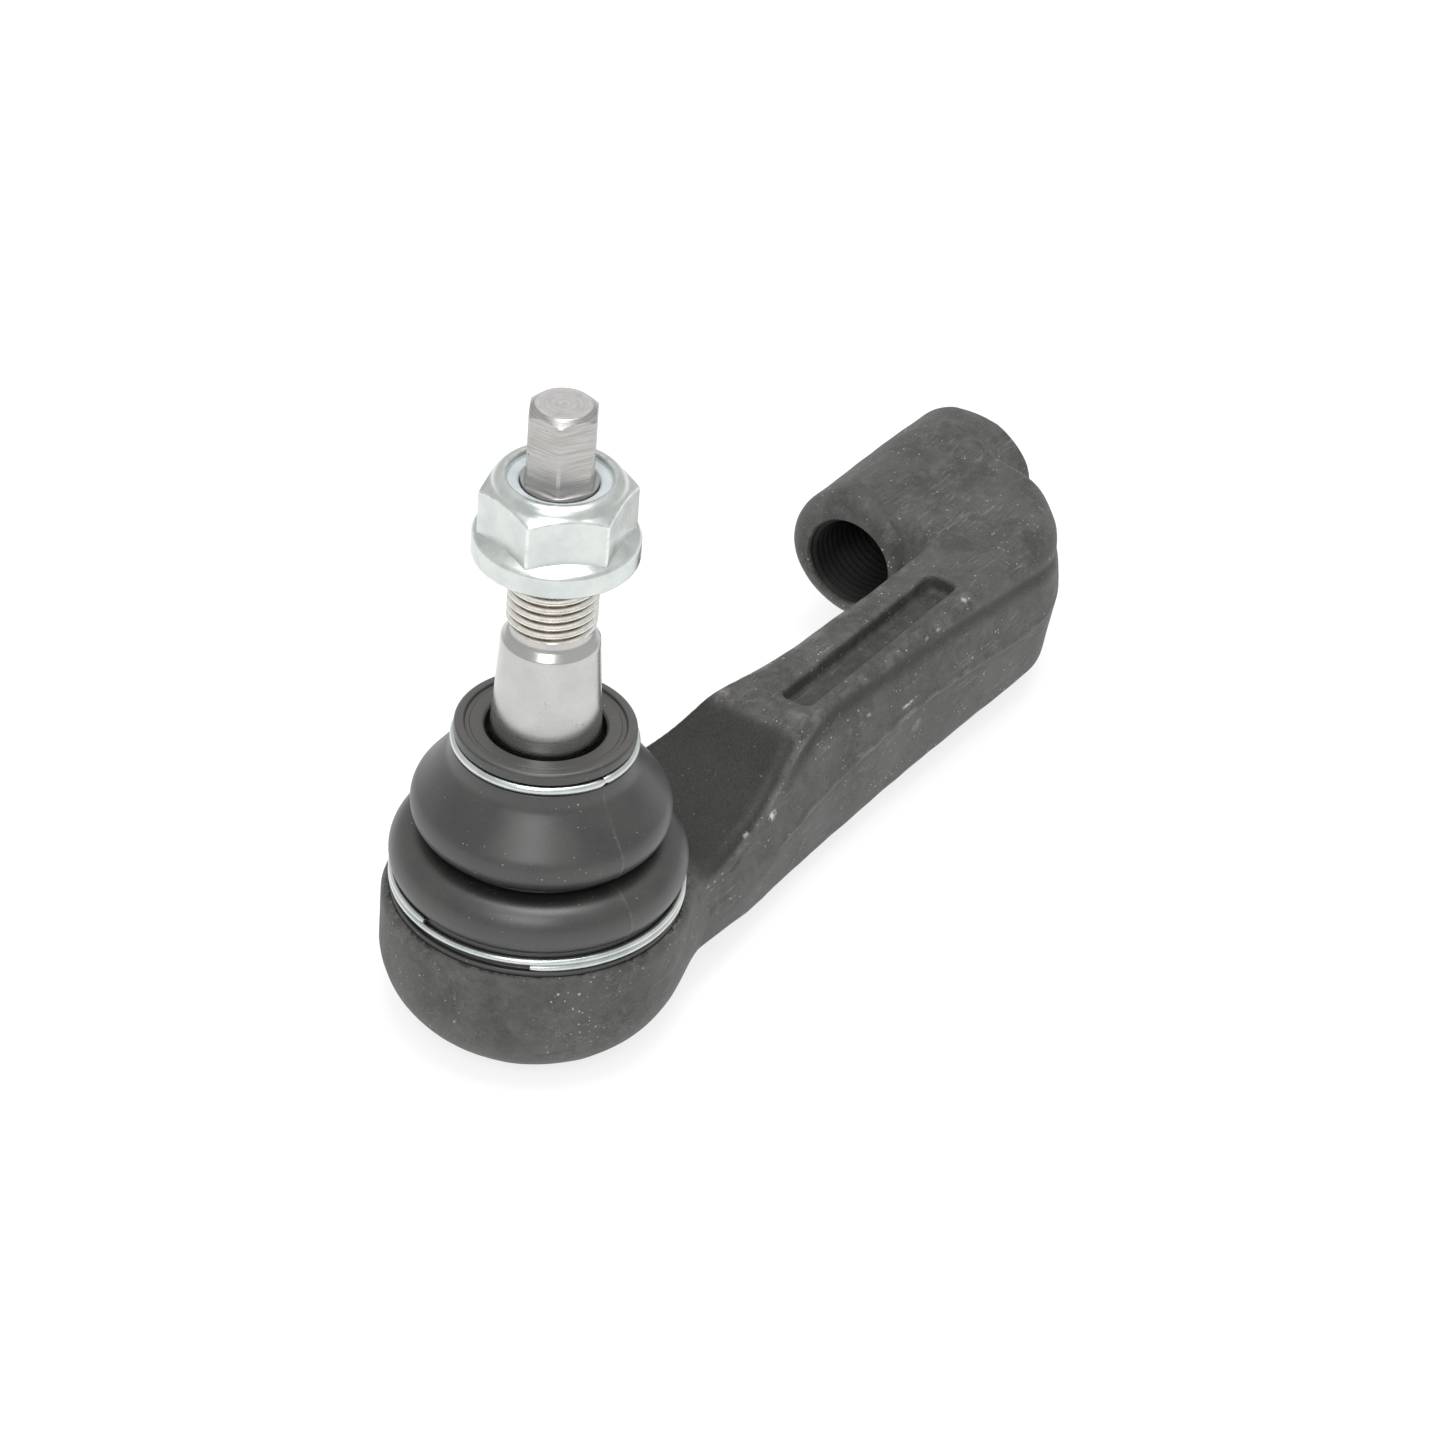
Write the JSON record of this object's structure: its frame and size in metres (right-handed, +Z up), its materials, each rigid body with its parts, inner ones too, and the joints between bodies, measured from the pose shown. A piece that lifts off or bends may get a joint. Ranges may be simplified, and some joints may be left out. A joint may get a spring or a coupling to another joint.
{
  "type": "tie rod end",
  "caption": "Steering tie rod end: forged hooked arm with a threaded boss, tapered ball stud in a rubber boot, and a flange lock nut.",
  "frame": {"origin": "on the ball stud's axis, at the underside of the cover plate", "axes": "+Z up the stud, +X along the arm towards the rod boss, +Y towards the side that the boss is offset to"},
  "size_m": [0.1733, 0.0503, 0.1114],
  "materials": {
    "forged_steel": "dark phosphate coating on forged steel",
    "stud_steel": "ground steel",
    "zinc_steel": "bright zinc plating",
    "boot_rubber": "satin black rubber",
    "seat_plastic": "natural acetal",
    "nylon": "grey-green nylon"
  },
  "bodies": {
    "housing": {"forged_housing": "forged_steel", "cover_plate": "zinc_steel", "preload_spring": "stud_steel", "lower_seat": "seat_plastic", "upper_seat": "seat_plastic", "lower_ring": "zinc_steel", "boot_lower_bellow": "boot_rubber"},
    "boot_middle": {"boot_upper_bellow": "boot_rubber"},
    "boot_top": {"boot_neck": "boot_rubber", "upper_ring": "zinc_steel"},
    "stud": {"ball_stud": "stud_steel"},
    "insert": {"nylon_insert": "nylon"},
    "nut": {"flange_nut": "zinc_steel"}
  },
  "joints": [
    {"name": "stud_tilt_side", "type": "hinge", "parent": "housing", "child": "boot_middle", "pos_m": [0, 0, 0.016], "axis": [1, 0, 0], "range_deg": [-18, 18], "deforming": ["boot_lower_bellow"]},
    {"name": "stud_tilt_along", "type": "hinge", "parent": "boot_middle", "child": "boot_top", "pos_m": [0, 0, 0.016], "axis": [0, 1, 0], "range_deg": [-18, 18], "deforming": ["boot_upper_bellow"]},
    {"name": "stud_spin", "type": "hinge", "parent": "boot_top", "child": "stud", "pos_m": [0, 0, 0.016], "axis": [0, 0, 1], "continuous": true},
    {"name": "nut_advance", "type": "slide", "parent": "stud", "child": "insert", "axis": [0, 0, 1], "range_m": [-0.0123, 0.0151]},
    {"name": "nut_spin", "type": "hinge", "parent": "insert", "child": "nut", "pos_m": [0, 0, 0.09], "axis": [0, 0, 1], "range_deg": [-2940, 3600]}
  ],
  "couplings": [
    {"joint": "nut_advance", "follows": "nut_spin", "m_per_rad": 0.00023873}
  ]
}
